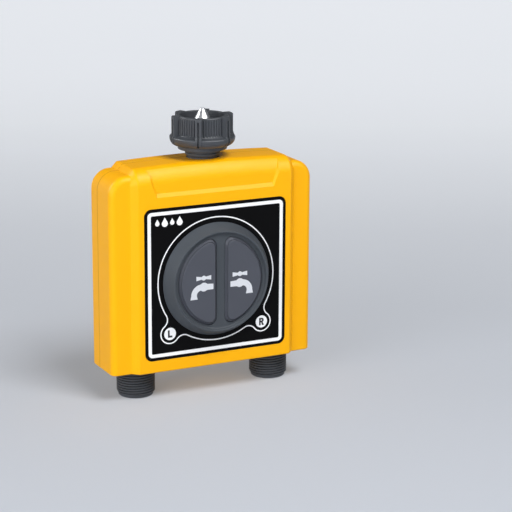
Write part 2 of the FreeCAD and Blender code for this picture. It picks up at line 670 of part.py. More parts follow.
def battery_springs():
    """A coil spring under each negative end."""
    low = TRAY_MID_Z - TRAY_HALF_HEIGHT + CONTACT_THICK + 0.3
    high = TRAY_MID_Z + TRAY_HALF_HEIGHT - CONTACT_THICK - 0.3
    length = 1.9
    springs = []
    for index, x in enumerate(CELL_X):
        if index % 2 == 0:
            springs.append(coil_spring(3.6, 0.3, 2, length, V(x, CELL_Y, low), ALONG_Z))
        else:
            springs.append(coil_spring(3.6, 0.3, 2, length, V(x, CELL_Y, high), V(0, 0, -1)))
    return group(springs)


def battery_door():
    """Cover on the back: plate, locating frame, finger ribs and two screw holes."""
    seat = CASE_BACK_Y - DOOR_THICK
    low = TRAY_MID_Z - DOOR_HALF_HEIGHT
    high = TRAY_MID_Z + DOOR_HALF_HEIGHT
    plate = rounded_plate(DOOR_HALF_WIDTH, low, high, 4.0, seat, CASE_BACK_Y)
    plate = fillet(plate, 0.6, lambda b: is_flat(b, "Y", CASE_BACK_Y))
    frame = box(-TRAY_HALF_WIDTH + 0.3, TRAY_HALF_WIDTH - 0.3, seat - 0.8, seat + 0.2,
                TRAY_MID_Z - TRAY_HALF_HEIGHT + 0.3, TRAY_MID_Z + TRAY_HALF_HEIGHT - 0.3)
    frame = frame.cut(box(-TRAY_HALF_WIDTH + 1.5, TRAY_HALF_WIDTH - 1.5, seat - 2, seat,
                          TRAY_MID_Z - TRAY_HALF_HEIGHT + 1.5, TRAY_MID_Z + TRAY_HALF_HEIGHT - 1.5))
    door = join([plate, frame])
    grooves = [box(-16, 16, CASE_BACK_Y - 0.6, CASE_BACK_Y + 1, z - 0.7, z + 0.7)
               for z in [TRAY_MID_Z + 14 + 3 * k for k in range(5)]]
    holes = [rod(DOOR_SHANK_R + 0.08, V(0, seat - 1, z), 5, ALONG_Y) for z in DOOR_SCREWS_Z]
    heads = [rod(DOOR_HEAD_R + 0.1, V(0, CASE_BACK_Y - 1.4, z), 5, ALONG_Y) for z in DOOR_SCREWS_Z]
    return door.cut(grooves + holes + heads)


DOOR_SHANK_R = 1.6
DOOR_HEAD_R = 3.4


def door_seal_ring(y0, y1):
    """The frame-shaped space of the door's seal."""
    outer = rounded_plate(TRAY_HALF_WIDTH + 3.4, TRAY_MID_Z - TRAY_HALF_HEIGHT - 2.9,
                          TRAY_MID_Z + TRAY_HALF_HEIGHT + 2.9, 3.0, y0, y1)
    inner = rounded_plate(TRAY_HALF_WIDTH + 1.6, TRAY_MID_Z - TRAY_HALF_HEIGHT - 1.5,
                          TRAY_MID_Z + TRAY_HALF_HEIGHT + 1.5, 1.5, y0 - 1, y1 + 1)
    return outer.cut(inner)


def door_screw(z):
    """Captive door screw: slotted head let into the door, and its thread into the boss."""
    head_y = CASE_BACK_Y - 1.3
    head = rod(DOOR_HEAD_R, V(0, head_y, z), 1.2, ALONG_Y)
    shank = rod(DOOR_SHANK_R, V(0, CASE_BACK_Y - DOOR_THICK + 0.1, z), 1.2, ALONG_Y)
    thread = rod(PILOT_R - 0.06, V(0, 16.0, z), 6, ALONG_Y)
    slot = box(-2.6, 2.6, head_y + 0.5, head_y + 2, z - 0.5, z + 0.5)
    return join([head, shank, thread]).cut(slot)


# ---- inlet -------------------------------------------------------------------------------------
TAIL_R = 9.6
TAIL_BOTTOM_Z = 147.0
TAIL_FLANGE_Z = 171.0
TAIL_FLANGE_TOP_Z = 173.6
SOCKET_R = 9.75
CLIP_Z = 154.5
CLIP_THICK = 1.5
TAIL_RING_Z = 149.8
RISER_RING_Z = 69.2
SPIGOT_R = 8.2
VALVE_SOCKET_R = 8.3


def nut_envelope(inset):
    """The turned shape that bounds the lugs, foot flare included."""
    lug_r = NUT_LUG_R - inset
    widest = NUT_FOOT_R - inset
    top = NUT_TOP_Z + 0.3 - inset
    return turned([(10, 170.2), (17.0 - inset, 170.2),
                   (widest, NUT_WIDEST_Z - 0.5, 21.0 - inset, 171.4),
                   (widest, NUT_WIDEST_Z + 0.3),
                   (lug_r, NUT_WIDEST_Z + 2.6, lug_r + 0.35, NUT_WIDEST_Z + 1.5),
                   (lug_r, top - 1.2), (lug_r - 1.2, top, lug_r - 0.35, top - 0.35), (10, top)],
                  V(0, WATER_Y, 0))


def about_water_axis(shape, degrees):
    """Turn a piece about the inlet's axis."""
    placed = shape.copy()
    placed.rotate(V(0, WATER_Y, 0), ALONG_Z, degrees)
    return placed


def inlet_nut():
    """Swivel nut: bowl, ribbed ring, six grooved lugs, and the female pipe thread inside."""
    body = turned([
        (TAIL_R + 0.08, NUT_BOTTOM_Z), (16.3, NUT_BOTTOM_Z),
        (16.8, NUT_BOTTOM_Z + 0.5, 16.65, NUT_BOTTOM_Z + 0.15), (16.8, 170.0), (17.2, 170.2),
        (NUT_WIDEST_R, 175.0, 21.1, 171.9), (21.2, 176.7, 22.1, 176.2),
        (NUT_RING_R, 178.8, 18.8, 177.3), (NUT_RING_R, NUT_TOP_Z - 0.9),
        (NUT_RING_R - 0.9, NUT_TOP_Z, NUT_RING_R - 0.26, NUT_TOP_Z - 0.26),
        (NUT_MOUTH_R + 0.4, NUT_TOP_Z), (NUT_MOUTH_R, NUT_TOP_Z - 0.4),
        (NUT_MOUTH_R, NUT_THREAD_TOP_Z + 1.4), (NUT_THREAD_ROOT_R, NUT_THREAD_TOP_Z + 0.7),
        (NUT_THREAD_R, NUT_THREAD_TOP_Z), (NUT_THREAD_R, NUT_THREAD_LOW_Z),
        (NUT_BORE_R, NUT_THREAD_LOW_Z - 0.8), (NUT_BORE_R, TAIL_FLANGE_Z - 0.25),
        (TAIL_R + 0.08, TAIL_FLANGE_Z - 0.25)],
        V(0, WATER_Y, 0))
    lug_half = 2.2
    groove_half = 0.65
    groove_depth = 1.5
    rib_r = 0.72
    rib_count = 7
    rib_step = 6.2         # degrees
    lug_pitch = 360 / NUT_LUGS
    lug = nut_envelope(0).common(
        box(NUT_RING_R - 1.5, FAR, WATER_Y - lug_half, WATER_Y + lug_half, NUT_BOTTOM_Z, FAR * 2))
    slot = nut_envelope(-1).cut(nut_envelope(groove_depth)).common(
        box(NUT_RING_R - 3, FAR, WATER_Y - groove_half, WATER_Y + groove_half,
            NUT_BOTTOM_Z + 3.7, NUT_TOP_Z - 2.0))
    rib = rod(rib_r, V(NUT_RING_R, WATER_Y, 178.0), 11.2, ALONG_Z)
    pieces = [body]
    slots = []
    for k in range(NUT_LUGS):
        turn = NUT_LUG_TURN + lug_pitch * k
        pieces.append(about_water_axis(lug, turn))
        slots.append(about_water_axis(slot, turn))
        for step in range(rib_count):
            spread = rib_step * (step - (rib_count - 1) / 2)
            pieces.append(about_water_axis(rib, turn + lug_pitch / 2 + spread))
    nut = join(pieces)
    for cut in slots:
        nut = nut.cut(cut)
    low_z = NUT_THREAD_LOW_Z - 1.0
    groove = thread_groove(NUT_THREAD_R - 0.2, NUT_THREAD_ROOT_R, V(0, WATER_Y, low_z),
                           NUT_THREAD_TOP_Z + 1.2 - low_z)
    return nut.cut(groove)


def inlet_tailpiece():
    """Flanged tube that the nut turns on, plugged into the manifold's neck."""
    ring_low = TAIL_RING_Z - 0.8
    ring_high = TAIL_RING_Z + 0.8
    clip_high = CLIP_Z + CLIP_THICK + 0.1
    return turned([
        (7.2, TAIL_BOTTOM_Z), (TAIL_R, TAIL_BOTTOM_Z), (TAIL_R, ring_low), (8.45, ring_low),
        (8.45, ring_high), (TAIL_R, ring_high), (TAIL_R, CLIP_Z - 0.1), (8.7, CLIP_Z - 0.1),
        (8.7, clip_high), (TAIL_R, clip_high), (TAIL_R, TAIL_FLANGE_Z), (13.0, TAIL_FLANGE_Z),
        (13.0, TAIL_FLANGE_TOP_Z), (7.2, TAIL_FLANGE_TOP_Z)], V(0, WATER_Y, 0))


def pipe_o_rings():
    """One ring on the tailpiece and one on each riser's spigot."""
    rings = [Part.makeTorus(9.1, 0.62, V(0, WATER_Y, TAIL_RING_Z), ALONG_Z)]
    rings += [Part.makeTorus(7.7, 0.57, V(side * OUTLET_X, WATER_Y, RISER_RING_Z), ALONG_Z)
              for side in (-1, 1)]
    return group(rings)


def clip_prongs(gap):
    """The clip's two straight prongs, or the slots for them when gap is above zero."""
    return [box(min(side * (8.75 - gap), side * (10.25 + gap)),
                max(side * (8.75 - gap), side * (10.25 + gap)),
                WATER_Y - 15.0 - 3 * gap, WATER_Y + 11 + 30 * gap,
                CLIP_Z - gap, CLIP_Z + CLIP_THICK + gap) for side in (-1, 1)]


def tailpiece_clip():
    """Flat U clip that locks the tailpiece in the neck."""
    bar = box(-10.25, 10.25, WATER_Y - 16.2, WATER_Y - 14.7, CLIP_Z, CLIP_Z + CLIP_THICK)
    return join([bar] + clip_prongs(0))


def inlet_washer():
    """Rubber washer on the tailpiece's flange."""
    return tube(13.2, 8.0, V(0, WATER_Y, TAIL_FLANGE_TOP_Z), 2.6, ALONG_Z)


def inlet_filter():
    """Stainless cone with a hole in its tip and a flat rim that rests on the washer."""
    base = TAIL_FLANGE_TOP_Z + 2.6
    thick = 0.5
    rim_r = 12.6
    foot_r = 9.2
    shoulder_r = 8.9
    shoulder_z = 181.7
    tip_r = 1.75
    hole_r = 0.6
    return turned([
        (foot_r - thick, base), (rim_r, base), (rim_r, base + 0.6), (foot_r, base + 0.6),
        (shoulder_r, shoulder_z), (tip_r + 0.15, FILTER_TIP_Z - 0.4),
        (tip_r - 0.3, FILTER_TIP_Z, tip_r, FILTER_TIP_Z - 0.1), (hole_r, FILTER_TIP_Z),
        (hole_r, FILTER_TIP_Z - thick), (tip_r - 0.45, FILTER_TIP_Z - thick),
        (shoulder_r - thick, shoulder_z - 0.2)], V(0, WATER_Y, 0))


def inlet_manifold():
    """Waisted neck with its collar, cross tube and two risers in one moulding."""
    waist_low = 158.9
    waist_high = BAND_TOP_Z + BAND_CROWN + 0.9
    collar_low_r = COLLAR_R - 0.4
    groove_z = 165.5
    neck = turned([
        (0, CROSS_TUBE_Z), (NECK_R, CROSS_TUBE_Z), (NECK_R, waist_low - 1.5),
        (NECK_WAIST_R, waist_low), (NECK_WAIST_R, waist_high),
        (collar_low_r, waist_high + 1.4, collar_low_r - 0.4, waist_high + 0.4),
        (collar_low_r, groove_z - 0.3), (collar_low_r - 0.5, groove_z),
        (COLLAR_R, groove_z + 0.3), (COLLAR_R, NECK_TOP_Z), (0, NECK_TOP_Z)], V(0, WATER_Y, 0))
    pieces = [neck, rod(PIPE_R, V(-OUTLET_X, WATER_Y, CROSS_TUBE_Z), 2 * OUTLET_X, ALONG_X)]
    bores = [rod(PIPE_BORE_R, V(0, WATER_Y, CROSS_TUBE_Z), 20, ALONG_Z),
             rod(SOCKET_R, V(0, WATER_Y, TAIL_BOTTOM_Z - 0.3), 40, ALONG_Z),
             rod(PIPE_BORE_R, V(-OUTLET_X, WATER_Y, CROSS_TUBE_Z), 2 * OUTLET_X, ALONG_X)]
    shoulder = SOCKET_TOP_Z + 0.2
    spigot_low = 64.0
    for side in (-1, 1):
        corner = V(side * OUTLET_X, WATER_Y, CROSS_TUBE_Z)
        foot = V(side * OUTLET_X, WATER_Y, spigot_low)
        pieces.append(Part.makeSphere(PIPE_R, corner))
        pieces.append(rod(PIPE_R, V(corner.x, WATER_Y, shoulder), CROSS_TUBE_Z - shoulder, ALONG_Z))
        pieces.append(rod(SPIGOT_R, foot, shoulder - spigot_low + 1, ALONG_Z))
        bores.append(Part.makeSphere(PIPE_BORE_R, corner))
        bores.append(rod(PIPE_BORE_R, V(corner.x, WATER_Y, spigot_low - 1),
                         CROSS_TUBE_Z - spigot_low + 1, ALONG_Z))
        bores.append(tube(SPIGOT_R + 1, 7.1, V(corner.x, WATER_Y, RISER_RING_Z - 0.7), 1.4, ALONG_Z))
    return join(pieces).cut(bores + clip_prongs(0.1))


# ---- valves (the right one; the left one is its mirror image) ------------------------------------
SEAT_X = 38.6
FLANGE_X = 38.0            # the valve body's inner face, where the diaphragm is clamped
FLANGE_HALF = 15.0
BONNET_X = 36.6
COIL_IN_X = 14.6
COIL_OUT_X = 31.4
CORE_TUBE_R = 6.0
PLUNGER_BACK_X = 17.5
PLUNGER_FRONT_X = 36.2


def square_flange(x0, x1):
    """A square flange in the YZ plane with rounded corners."""
    flange = box(x0, x1, WATER_Y - FLANGE_HALF, WATER_Y + FLANGE_HALF,
                 VALVE_Z - FLANGE_HALF, VALVE_Z + FLANGE_HALF)
    edges = [edge for edge in flange.Edges if edge.BoundBox.XLength > 0.9 * (x1 - x0)]
    return flange.makeFillet(3.0, edges)


def valve_point(x):
    """A point on the valve's axis."""
    return V(x, WATER_Y, VALVE_Z)


BONNET_SCREW_OFFSETS = [(dy * 12.0, dz * 12.0) for dy in (-1, 1) for dz in (-1, 1)]


def valve_body_plain():
    """Valve body before its outlet thread is cut."""
    x = OUTLET_X
    neck_top_z = CASE_BOTTOM_Z + 1.5
    socket = rod(11.0, V(x, WATER_Y, VALVE_Z), SOCKET_TOP_Z - VALVE_Z, ALONG_Z)
    drum = rod(13.0, valve_point(FLANGE_X + 3), 61.5 - FLANGE_X - 3, ALONG_X)
    outlet = turned([(0, 0), (OUTLET_TIP_R - 0.6, 0), (OUTLET_TIP_R, 0.6),
                     (OUTLET_TIP_R, OUTLET_TIP_LENGTH), (HOSE_CREST_R, OUTLET_TIP_LENGTH + 0.8),
                     (HOSE_CREST_R, neck_top_z), (13.0, neck_top_z + 0.3), (13.0, 26.0),
                     (HOSE_ROOT_R, 26.0), (HOSE_ROOT_R, VALVE_Z), (0, VALVE_Z)],
                    V(x, WATER_Y, 0))
    inlet_block = box(FLANGE_X, 58, WATER_Y - 6.5, WATER_Y + 6.5, 50, 66.5)
    body = join([square_flange(FLANGE_X, FLANGE_X + 4), drum, socket, outlet, inlet_block])
    seat_tube = rod(6.5, valve_point(SEAT_X), 6, ALONG_X)
    chamber = rod(11.0, valve_point(FLANGE_X), 6, ALONG_X).cut(seat_tube)
    passages = [
        chamber,
        rod(5.0, valve_point(FLANGE_X), x - FLANGE_X, ALONG_X),
        rod(5.0, V(x, WATER_Y, 20), VALVE_Z - 20, ALONG_Z),
        rod(HOSE_BORE_R, V(x, WATER_Y, -1), 27, ALONG_Z),
        rod(VALVE_SOCKET_R, V(x, WATER_Y, 63), 20, ALONG_Z),
        rod(4.0, V(x, WATER_Y, 60), 5, ALONG_Z),
        box(40, x, WATER_Y - 3.5, WATER_Y + 3.5, 60, 63.5),
        box(40, 43.5, WATER_Y - 3.5, WATER_Y + 3.5, 50, 63.5)]
    passages += [rod(1.15, V(FLANGE_X - 1, WATER_Y + dy, VALVE_Z + dz), 4.8, ALONG_X)
                 for dy, dz in BONNET_SCREW_OFFSETS]
    return body.cut(passages)


def valve_body(side):
    """Valve body with its male pipe thread, which is right-handed on both sides."""
    body = valve_body_plain()
    if side < 0:
        body = mirrored(body)
    start = OUTLET_TIP_LENGTH + 0.1
    groove = thread_groove(HOSE_CREST_R + 0.2, HOSE_ROOT_R, V(side * OUTLET_X, WATER_Y, start),
                           CASE_BOTTOM_Z + 0.4 - start)
    return body.cut(groove)


def diaphragm():
    """Rubber diaphragm clamped between the body and the bonnet."""
    return tube(13.0, 7.2, valve_point(BONNET_X), FLANGE_X - BONNET_X, ALONG_X)


def diaphragm_disc():
    """Stiff disc in the diaphragm's middle that closes the seat."""
    return rod(6.9, valve_point(PLUNGER_FRONT_X + 0.05), SEAT_X - PLUNGER_FRONT_X - 0.07, ALONG_X)


def valve_bonnet():
    """Square cover with the closed tube that the plunger runs in."""
    body = join([square_flange(BONNET_X - 4, BONNET_X),
                 rod(CORE_TUBE_R, valve_point(12.6), 22, ALONG_X)])
    cuts = [rod(4.6, valve_point(14.0), 30, ALONG_X), rod(10.5, valve_point(BONNET_X - 2.2), 5, ALONG_X)]
    cuts += [rod(1.35, V(BONNET_X - 6, WATER_Y + dy, VALVE_Z + dz), 8, ALONG_X)
             for dy, dz in BONNET_SCREW_OFFSETS]
    return body.cut(cuts)


def bonnet_screws():
    """Four screws per valve, heads towards the coils."""
    screw = pan_screw(2.4, 1.8, 1.15, 8.8)
    screws = []
    for side in (-1, 1):
        for dy, dz in BONNET_SCREW_OFFSETS:
            point = V(side * (BONNET_X - 4), WATER_Y + dy, VALVE_Z + dz)
            screws.append(set_screw_at(screw, point, V(-side, 0, 0)))
    return group(screws)


def coil_bobbin():
    """Spool on the core tube."""
    hub = rod(7.0, valve_point(COIL_IN_X), COIL_OUT_X - COIL_IN_X, ALONG_X)
    ends = [rod(10.4, valve_point(x), 1.0, ALONG_X) for x in (COIL_IN_X, COIL_OUT_X - 1.0)]
    bore = rod(CORE_TUBE_R + 0.1, valve_point(0), 40, ALONG_X)
    return join([hub] + ends).cut(bore)


def coil_winding():
    """Copper winding between the spool's ends."""
    return tube(9.8, 7.02, valve_point(COIL_IN_X + 1.05), COIL_OUT_X - COIL_IN_X - 2.1, ALONG_X)


def coil_frame():
    """Steel bracket round the coil that carries its flux."""
    inner_plate = box(13.0, COIL_IN_X - 0.05, WATER_Y - 8, WATER_Y + 12.2, VALVE_Z - 8, VALVE_Z + 8)
    outer_plate = box(COIL_OUT_X + 0.05, BONNET_X - 4.05, WATER_Y - 8, WATER_Y + 12.2,
                      VALVE_Z - 8, VALVE_Z + 8)
    bridge = box(13.0, BONNET_X - 4.05, WATER_Y + 10.8, WATER_Y + 12.2, VALVE_Z - 8, VALVE_Z + 8)
    return join([inner_plate, outer_plate, bridge]).cut(rod(CORE_TUBE_R + 0.1, valve_point(0), 50,
                                                            ALONG_X))


def latch_magnet():
    """Disc magnet that holds the plunger open without power."""
    return rod(5.0, valve_point(9.0), 3.5, ALONG_X)


def plunger():
    """Steel plunger, with a rubber-filled nose that closes the pilot hole."""
    length = PLUNGER_FRONT_X - PLUNGER_BACK_X
    body = rod(4.54, valve_point(PLUNGER_BACK_X), length - 2.5, ALONG_X)
    nose = rod(2.6, valve_point(PLUNGER_FRONT_X - 3), 3, ALONG_X)
    return join([body, nose])


def plunger_spring():
    """Return spring between the plunger and the tube's closed end."""
    return coil_spring(3.4, 0.25, 3, 2.8, valve_point(14.32), ALONG_X)


# ---- leads -------------------------------------------------------------------------------------
LEAD_R = 0.6


def battery_leads():
    """Two leads from the tray's outer corners to the middle header."""
    leads = []
    for side in (-1, 1):
        leads.append(lead([V(side * 27.0, 2.0, 67.0), V(side * 20.0, 0.4, 60.0),
                           V(side * 8.0, -1.8, 57.4), V(side * 1.6, -3.8, 60.5),
                           V(side * 1.6, -4.2, 65.8)], LEAD_R))
    return group(leads)


def coil_leads():
    """Two leads from each coil's spool to its header."""
    leads = []
    for side in (-1, 1):
        for offset in (0.0, 2.4):
            x = side * (15.2 + offset * 4.5)
            leads.append(lead([V(side * (16.4 + offset * 4.0), WATER_Y - 8.7, VALVE_Z + 5.6),
                               V(x, -5.4, 53.0), V(side * (13.0 + offset), -4.6, 59.0),
                               V(side * (12.8 + offset), -4.2, 65.8)], LEAD_R))
    return group(leads)


# ---- build -------------------------------------------------------------------------------------
def build_case():
    """Case shells, their seal and screws."""
    block = case_block(0)
    cavity = case_block(WALL)
    write("front_housing", front_housing(block, cavity))
    write("rear_housing", rear_housing(block, cavity))
    write("housing_gasket", housing_gasket(block))
    write("housing_screws", housing_screws())


def build_controls():
    """Label, bezel, keys, switches and the board."""
    write("front_label", front_label())
    write("control_bezel", control_bezel())
    write("button_membrane", button_membrane())
    for name, piece in (("button", right_button()), ("switch", right_switch()),
                        ("switch_plunger", right_switch_plunger())):
        write("right_" + name, piece)
        write("left_" + name, mirrored(piece))
    write("control_board", control_board())
    write("board_screws", board_screws())
    write("radio_module", radio_module())
    write("microcontroller", microcontroller())
    write("drive_capacitors", drive_capacitors())
    write("board_connectors", board_connectors())


def build_battery_bay():
    """Tray, cells, contacts, cover and its screws."""
    write("battery_tray", battery_tray())
    for index in range(4):
        write("battery_%d" % (index + 1), battery(index))
    write("battery_contacts", battery_contacts())
    write("battery_springs", battery_springs())
    write("battery_door", battery_door())
    seat = CASE_BACK_Y - DOOR_THICK
    write("battery_door_seal", door_seal_ring(seat - 0.8, seat))
    write("lower_door_screw", door_screw(DOOR_SCREWS_Z[0]))
    write("upper_door_screw", door_screw(DOOR_SCREWS_Z[1]))
    write("battery_leads", battery_leads())


def build_water_path():
    """Inlet, manifold and the two latching valves."""
    write("inlet_nut", inlet_nut())
    write("inlet_tailpiece", inlet_tailpiece())
    write("inlet_washer", inlet_washer())
    write("inlet_filter", inlet_filter())
    write("tailpiece_clip", tailpiece_clip())
    write("inlet_manifold", inlet_manifold())
    write("pipe_o_rings", pipe_o_rings())
    write("right_valve_body", valve_body(1))
    write("left_valve_body", valve_body(-1))
    for name, piece in (("diaphragm", diaphragm()), ("diaphragm_disc", diaphragm_disc()),
                        ("valve_bonnet", valve_bonnet()), ("coil_bobbin", coil_bobbin()),
                        ("coil_winding", coil_winding()), ("coil_frame", coil_frame()),
                        ("latch_magnet", latch_magnet()), ("plunger", plunger()),
                        ("plunger_spring", plunger_spring())):
        write("right_" + name, piece)
        write("left_" + name, mirrored(piece))
    write("bonnet_screws", bonnet_screws())
    write("coil_leads", coil_leads())


build_case()
build_controls()
build_battery_bay()
build_water_path()
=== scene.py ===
"""Looks of the two-outlet hose timer: printed graphics, materials, stage, light and camera."""

import math

import bpy
from mathutils import Matrix, Vector


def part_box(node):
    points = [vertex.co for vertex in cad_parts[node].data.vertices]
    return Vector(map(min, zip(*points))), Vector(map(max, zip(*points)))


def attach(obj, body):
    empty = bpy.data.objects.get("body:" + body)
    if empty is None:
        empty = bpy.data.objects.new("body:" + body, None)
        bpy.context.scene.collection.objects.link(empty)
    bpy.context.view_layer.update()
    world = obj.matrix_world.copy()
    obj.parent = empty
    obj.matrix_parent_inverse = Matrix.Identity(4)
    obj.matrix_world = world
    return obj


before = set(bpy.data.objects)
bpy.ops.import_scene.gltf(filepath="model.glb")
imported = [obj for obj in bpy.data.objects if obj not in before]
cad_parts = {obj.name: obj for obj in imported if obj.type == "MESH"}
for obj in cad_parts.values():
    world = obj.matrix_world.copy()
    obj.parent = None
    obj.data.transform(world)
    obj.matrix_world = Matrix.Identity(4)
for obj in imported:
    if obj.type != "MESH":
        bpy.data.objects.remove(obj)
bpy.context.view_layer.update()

MM = 0.001

# ---- places read from the frame --------------------------------------------------------------------
label_low, label_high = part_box("front_label")
LABEL_FRONT_Y = label_low.y
DIAL_X = (label_low.x + label_high.x) / 2
DIAL_Z = (label_low.z + label_high.z) / 2
KEY_FRONT_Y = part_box("left_button")[0].y
# The inlet's axis runs through the middle of the filter.
filter_low, filter_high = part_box("inlet_filter")
WATER_Y = (filter_low.y + filter_high.y) / 2
# The two housings meet at the front edge of the rear one.
SEAM_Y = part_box("rear_housing")[0].y


# ---- flat prints -----------------------------------------------------------------------------------
PRINT_THICK = 0.04 * MM
# The sizes below are in millimetres, and the places in millimetres from the dial's centre.
BORDER_OUT = 50.3          # half the width of the square white border, at its outer edge
BORDER_OUT_CORNER = 3.0
BORDER_IN = 47.9           # the same at its inner edge
BORDER_IN_CORNER = 1.0
LINE_R = 43.05             # the line round the dial
LINE_WIDTH = 0.82
BADGE = (34.45, -34.8)     # middle of the right-hand badge
BADGE_R = 4.35
LOBE_R = 6.75              # the line's lobe round a badge
BLEND_R = 6.0              # the hollow bend between the lobe and the circle
LETTER_HEIGHT = 5.2
TAP_MIDDLE = (14.8, -2.4)  # the point the right-hand tap is scaled about
TAP_SCALE = 0.96           # a ratio
DROP_FIRST = (-43.2, 43.1)  # middle of the row's first drop
DROP_STEP = 5.4
DROP_HEIGHTS = (4.6, 6.4, 4.6, 6.4)


def arc(centre, radius, start, end, steps):
    """Points along an arc, in degrees from +X towards +Z."""
    points = []
    for k in range(steps + 1):
        angle = math.radians(start + (end - start) * k / steps)
        points.append((centre[0] + radius * math.cos(angle), centre[1] + radius * math.sin(angle)))
    return points


def circle(centre, radius):
    """Points round a circle."""
    return arc(centre, radius, 0, 360, steps=48)[:-1]


def rounded_square(half, radius):
    """Outline of a square with round corners."""
    inner = half - radius
    points = []
    for k, (sx, sz) in enumerate(((1, 1), (-1, 1), (-1, -1), (1, -1))):
        points += arc((sx * inner, sz * inner), radius, 90 * k, 90 * k + 90, steps=10)
    return points


def flat_print(name, loops, front_y, thickness, body, look):
    """A thin printed layer between closed loops, filled even-odd, on a face at front_y."""
    curve = bpy.data.curves.new(name, "CURVE")
    curve.dimensions = "2D"
    curve.fill_mode = "BOTH"
    curve.extrude = thickness / 2
    for loop in loops:
        spline = curve.splines.new("POLY")
        spline.points.add(len(loop) - 1)
        for point, (x, z) in zip(spline.points, loop):
            point.co = (x * MM, z * MM, 0, 1)
        spline.use_cyclic_u = True
    holder = bpy.data.objects.new(name + "_outline", curve)
    bpy.context.collection.objects.link(holder)
    bpy.context.view_layer.update()
    mesh = bpy.data.meshes.new_from_object(holder)
    bpy.data.objects.remove(holder)
    mesh.transform(Matrix.Translation((DIAL_X, front_y - thickness / 2, DIAL_Z))
                   @ Matrix.Rotation(math.pi / 2, 4, "X"))
    mesh.materials.clear()
    mesh.materials.append(look)
    piece = bpy.data.objects.new(name, mesh)
    bpy.context.collection.objects.link(piece)
    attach(piece, body)


def lobed_circle(offset):
    """The line round the dial, with a lobe round each badge, moved out by offset."""
    badge_distance = math.hypot(*BADGE)
    to_badge = math.degrees(math.atan2(BADGE[1], BADGE[0]))
    reach = LINE_R + BLEND_R
    gap = LOBE_R + BLEND_R
    swing = math.degrees(math.acos(
        (reach ** 2 + badge_distance ** 2 - gap ** 2) / (2 * reach * badge_distance)))
    blends = []
    for turn in (to_badge - swing, to_badge + swing):
        angle = math.radians(turn)
        blends.append((reach * math.cos(angle), reach * math.sin(angle), turn))
    low, high = blends
    to_low = math.degrees(math.atan2(BADGE[1] - low[1], BADGE[0] - low[0]))
    to_high = math.degrees(math.atan2(BADGE[1] - high[1], BADGE[0] - high[0]))
    right = arc((0, 0), LINE_R + offset, -90, low[2], steps=20)
    right += arc(low[:2], BLEND_R - offset, low[2] + 180, to_low, steps=12)
    right += arc(BADGE, LOBE_R + offset, to_low - 180, to_high + 180, steps=40)
    right += arc(high[:2], BLEND_R - offset, to_high, high[2] - 180, steps=12)
    right += arc((0, 0), LINE_R + offset, high[2], 90, steps=80)
    left = [(-x, z) for x, z in reversed(right)]
    return right[:-1] + left[:-1]


def tap_outlines(side):
    """A plain tap: its handle and its body, for the right-hand key; side = -1 mirrors it."""
    knob = (13.4, 4.3)
    knob_r = 1.75
    handle = [(7.7, 2.65), (7.7, 5.9), (11.7, 5.2)]
    handle += arc(knob, knob_r, 140, 40, steps=8)
    handle += [(15.1, 5.2), (19.1, 5.9), (19.1, 2.65), (15.1, 3.35)]
    handle += arc(knob, knob_r, -40, -140, steps=8)
    handle += [(11.7, 3.35)]
    hub = (13.3, -2.2)
    hub_r = 3.2
    bend = (15.2, -8.0)
    bend_outer_r = 7.9
    bend_inner_r = 3.6
    body = [(6.0, -4.5), (6.0, -0.5), (10.2, -0.25)]
    body += arc(hub, hub_r, 140, 48, steps=10)
    body += arc(bend, bend_outer_r, 82, 0, steps=16)
    body += [(23.7, -10.7), (18.2, -10.7), (18.8, -8.0)]
    body += arc(bend, bend_inner_r, 0, 78, steps=10)
    body += arc(hub, hub_r, -52, -130, steps=10)
    body += [(10.2, -4.5)]

    def placed(x, z):
        return (side * (TAP_MIDDLE[0] + (x - TAP_MIDDLE[0]) * TAP_SCALE),
                TAP_MIDDLE[1] + (z - TAP_MIDDLE[1]) * TAP_SCALE)

    return [[placed(x, z) for x, z in loop] for loop in (handle, body)]


def letter_l(centre, height):
    """Outline of the letter L."""
    x, z = centre
    stroke = 0.25 * height
    left = x - 0.31 * height
    right = x + 0.31 * height
    low = z - height / 2
    high = z + height / 2
    return [[(left, low), (right, low), (right, low + stroke), (left + stroke, low + stroke),
             (left + stroke, high), (left, high)]]


def letter_r(centre, height):
    """Outline of the letter R, with its counter."""
    x, z = centre
    stroke = 0.23 * height
    left = x - 0.34 * height
    right = x + 0.34 * height
    low = z - height / 2
    high = z + height / 2
    bowl_r = 0.3 * height
    bowl = (right - bowl_r, high - bowl_r)
    waist = bowl[1] - bowl_r
    leg_inside = x - 0.03 * height
    leg_outside = x + 0.18 * height
    foot_inside = right - 0.26 * height
    foot_outside = right + 0.05 * height
    outer = [(left, low), (left + stroke, low), (left + stroke, waist), (leg_inside, waist),
             (foot_inside, low), (foot_outside, low), (leg_outside, waist + 0.02 * height)]
    outer += arc(bowl, bowl_r, -80, 90, steps=14)
    outer += [(left, high)]
    counter = [(left + stroke, waist + stroke)]
    counter += arc(bowl, bowl_r - stroke, -90, 90, steps=12)
    counter += [(left + stroke, bowl[1] + bowl_r - stroke)]
    return [outer, counter]


def drop_outline(centre, height):
    """A water drop, point up."""
    radius = 0.34 * height
    belly = (centre[0], centre[1] - height / 2 + radius)
    tip = (centre[0], centre[1] + height / 2)
    reach = tip[1] - belly[1]
    lean = math.degrees(math.acos(radius / reach))
    return [tip] + arc(belly, radius, 90 + lean, 450 - lean, steps=28)


